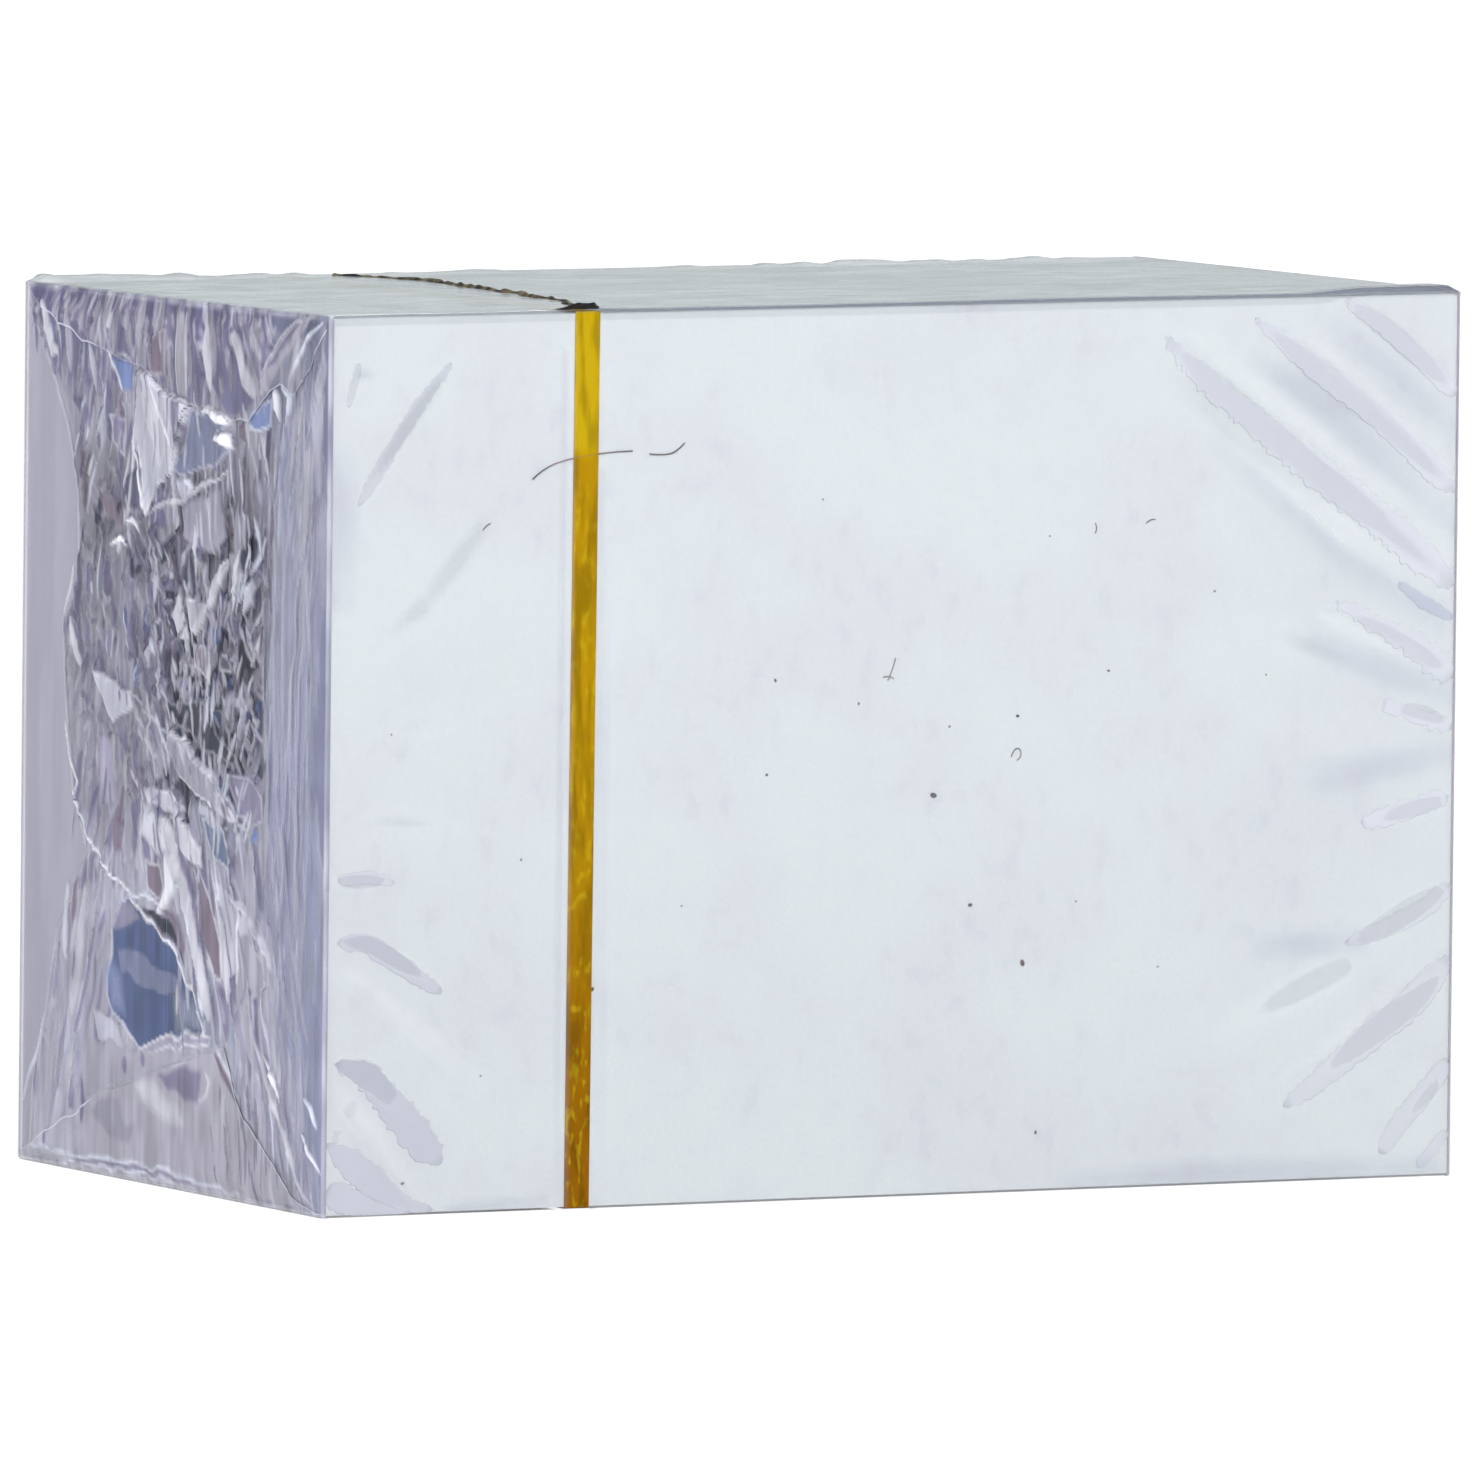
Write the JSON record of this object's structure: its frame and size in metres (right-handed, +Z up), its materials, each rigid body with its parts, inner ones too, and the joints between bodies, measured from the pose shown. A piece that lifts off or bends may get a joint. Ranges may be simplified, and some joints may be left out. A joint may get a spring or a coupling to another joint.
{
  "type": "stack of index cards",
  "caption": "Sealed stack of blank white index cards standing on a long edge, wrapped in creased clear film with a narrow gold tear tape round its girth.",
  "frame": {"origin": "middle of the pack's footprint, on the surface that it stands on", "axes": "+X along the cards' length, +Y from the front card to the back card, +Z up the cards' short side"},
  "size_m": [0.0764, 0.0403, 0.0524],
  "materials": {
    "card_stock": "smooth uncoated white index board, cut edges a little greyer",
    "gold_tape": "metallised gold tear tape under the film, mottled with adhesive",
    "clear_film": "clear glossy polypropylene overwrap, creased at both ends"
  },
  "bodies": {
    "root": {"front_card": "card_stock", "cards_01": "card_stock", "cards_02": "card_stock", "cards_03": "card_stock", "cards_04": "card_stock", "cards_05": "card_stock", "cards_06": "card_stock", "cards_07": "card_stock", "cards_08": "card_stock", "cards_09": "card_stock", "cards_10": "card_stock", "cards_11": "card_stock", "cards_12": "card_stock", "cards_13": "card_stock", "cards_14": "card_stock", "cards_15": "card_stock", "cards_16": "card_stock", "cards_17": "card_stock", "cards_18": "card_stock", "back_card": "card_stock", "tear_tape": "gold_tape", "film_wrap": "clear_film"}
  },
  "joints": []
}
